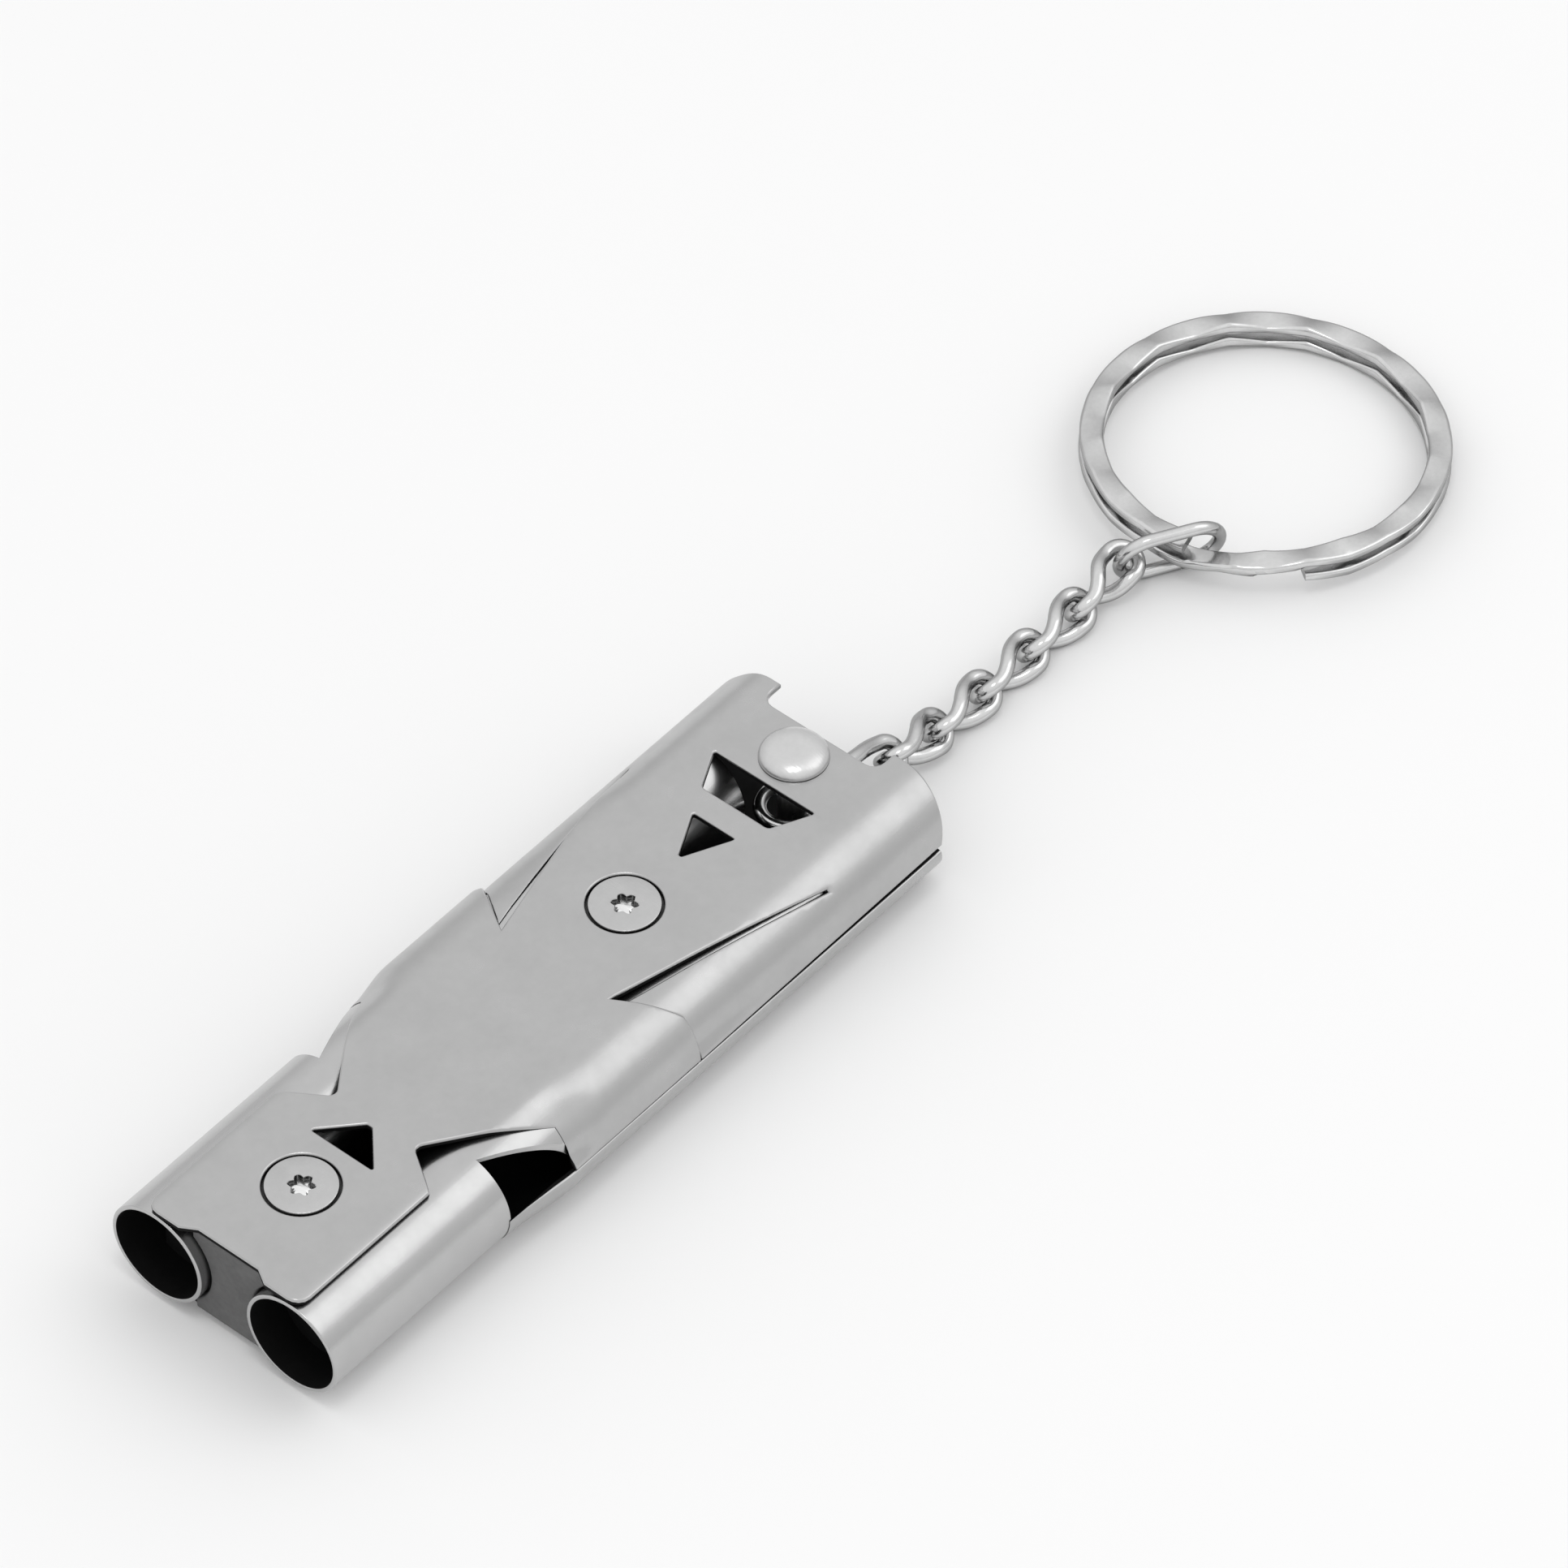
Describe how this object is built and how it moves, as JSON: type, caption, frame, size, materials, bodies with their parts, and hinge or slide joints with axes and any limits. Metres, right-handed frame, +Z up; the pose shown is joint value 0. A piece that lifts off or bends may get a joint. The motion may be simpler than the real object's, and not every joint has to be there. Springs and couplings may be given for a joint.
{
  "type": "emergency whistle",
  "caption": "Flat twin-pipe emergency whistle of wrapped sheet steel with slanted side windows, flush screws, a riveted twisted curb chain and a split key ring.",
  "frame": {"origin": "middle of the whistle's flat back face, which lies on the surface", "axes": "+X along the pipes from the mouth to the key ring, +Y across the pipes, +Z up out of the front face"},
  "size_m": [0.1054, 0.023, 0.0089],
  "materials": {
    "cover_steel": "satin sheet steel",
    "pipe_steel": "smooth drawn steel",
    "fastener_steel": "satin turned steel",
    "wire_steel": "bright plated wire",
    "dark_block": "dark matte plastic"
  },
  "bodies": {
    "whistle": {"front_cover": "cover_steel", "back_cover": "cover_steel", "near_tube": "pipe_steel", "near_windway_plug": "dark_block", "near_end_plug": "dark_block", "far_tube": "pipe_steel", "far_windway_plug": "dark_block", "far_end_plug": "dark_block", "mouth_core": "dark_block", "front_screw": "fastener_steel", "front_nut": "fastener_steel", "middle_core": "dark_block", "middle_screw": "fastener_steel", "middle_nut": "fastener_steel", "chain_rivet": "fastener_steel"},
    "anchor": {"anchor_link": "wire_steel"},
    "link_1": {"chain_link_1": "wire_steel"},
    "link_2": {"chain_link_2": "wire_steel"},
    "link_3": {"chain_link_3": "wire_steel"},
    "link_4": {"chain_link_4": "wire_steel"},
    "link_5": {"chain_link_5": "wire_steel"},
    "link_6": {"chain_link_6": "wire_steel"},
    "connector": {"connector_link": "wire_steel"},
    "ring": {"split_ring": "wire_steel"}
  },
  "joints": [
    {"name": "anchor_swing", "type": "hinge", "parent": "whistle", "child": "anchor", "pos_m": [0.0234, 0, 0.004], "axis": [0, 0, 1], "range_deg": [-28, 52]},
    {"name": "link_1_nod", "type": "hinge", "parent": "anchor", "child": "link_1", "pos_m": [0.02753, -0.00088, 0.004], "axis": [0.2079, 0.9781, 0], "range_deg": [-35, 35]},
    {"name": "link_2_swing", "type": "hinge", "parent": "link_1", "child": "link_2", "pos_m": [0.03062, -0.0015, 0.00306], "axis": [-0.2432, 0.2924, -0.9249], "range_deg": [-35, 35]},
    {"name": "link_3_nod", "type": "hinge", "parent": "link_2", "child": "link_3", "pos_m": [0.03618, -0.0015, 0.0016], "axis": [0.0743, 0.9563, 0.2828], "range_deg": [-35, 35]},
    {"name": "link_4_swing", "type": "hinge", "parent": "link_3", "child": "link_4", "pos_m": [0.03944, -0.0015, 0.00151], "axis": [0, 0.4226, -0.9063], "range_deg": [-35, 35]},
    {"name": "link_5_nod", "type": "hinge", "parent": "link_4", "child": "link_5", "pos_m": [0.04519, -0.0015, 0.00151], "axis": [0, 0.9063, 0.4226], "range_deg": [-35, 35]},
    {"name": "link_6_swing", "type": "hinge", "parent": "link_5", "child": "link_6", "pos_m": [0.04845, -0.0015, 0.0014], "axis": [0.1627, 0.4226, -0.8916], "range_deg": [-35, 35]},
    {"name": "connector_swing", "type": "hinge", "parent": "link_6", "child": "connector", "pos_m": [0.05294, -0.00155, 0.00232], "axis": [-0.1447, -0.2146, 0.9659], "range_deg": [-35, 35]},
    {"name": "ring_nod", "type": "hinge", "parent": "connector", "child": "ring", "pos_m": [0.05587, -0.00352, 0.00232], "axis": [-0.1736, 0.9848, 0], "range_deg": [-75, 75]}
  ]
}
